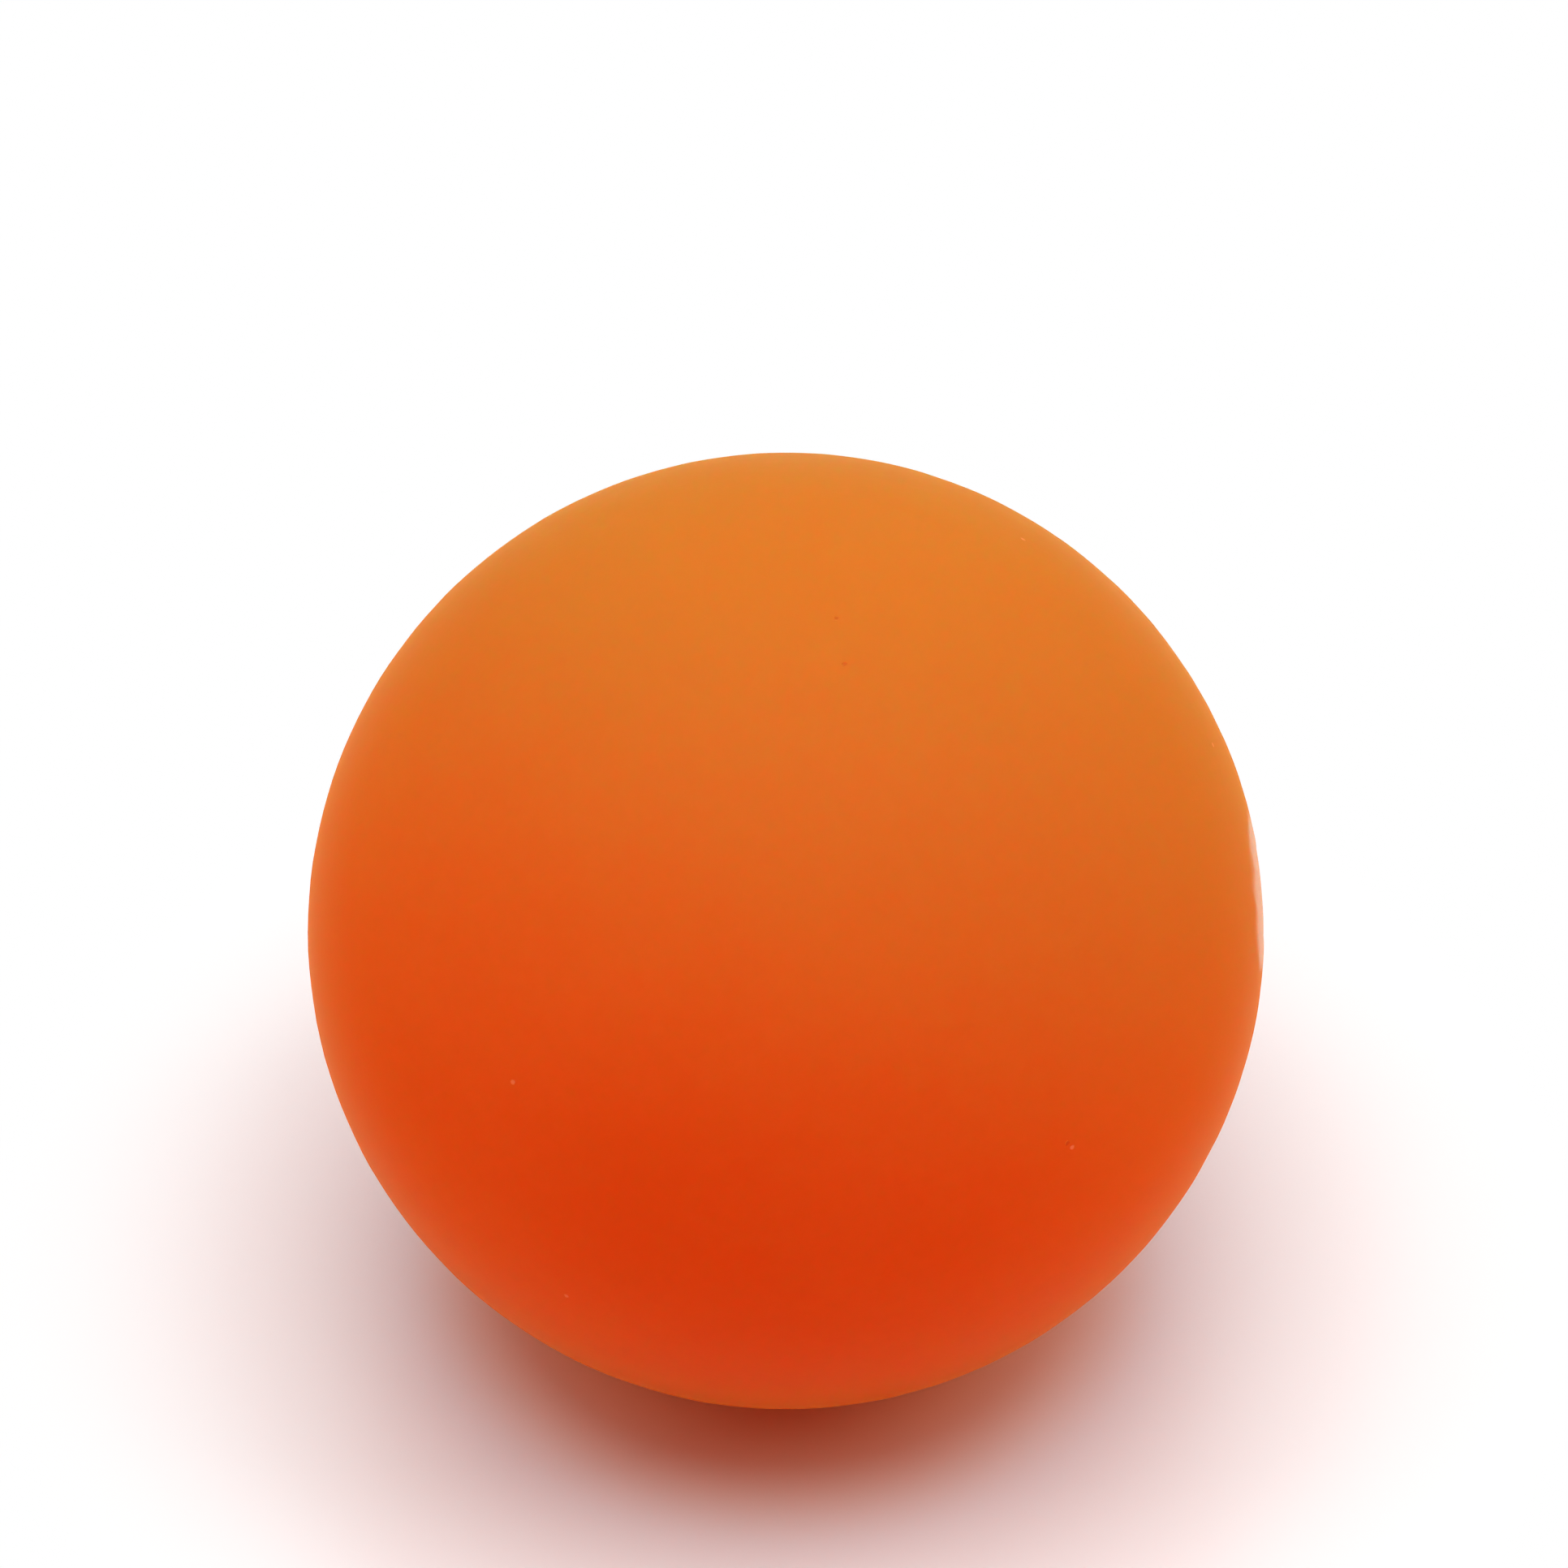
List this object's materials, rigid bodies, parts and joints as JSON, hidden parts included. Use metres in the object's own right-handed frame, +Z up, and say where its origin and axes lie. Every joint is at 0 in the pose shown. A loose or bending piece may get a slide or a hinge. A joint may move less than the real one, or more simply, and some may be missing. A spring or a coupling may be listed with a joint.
{
  "type": "lacrosse ball",
  "caption": "Solid moulded rubber ball for field play or massage, plain orange, with a faint parting line and a small dressed flat on it.",
  "frame": {"origin": "centre of the ball", "axes": "+Z up as the ball lies on a level surface, with the surface at Z -31.5 mm; +X to the right in the picture; +Y away from the viewer. The parting line's plane is tilted 45 degrees from level about X, with its far side up"},
  "size_m": [0.0632, 0.063, 0.063],
  "materials": {
    "rubber": "matte, fine even skin as it leaves the mould, slightly translucent"
  },
  "bodies": {
    "root": {"ball": "rubber"}
  },
  "joints": []
}
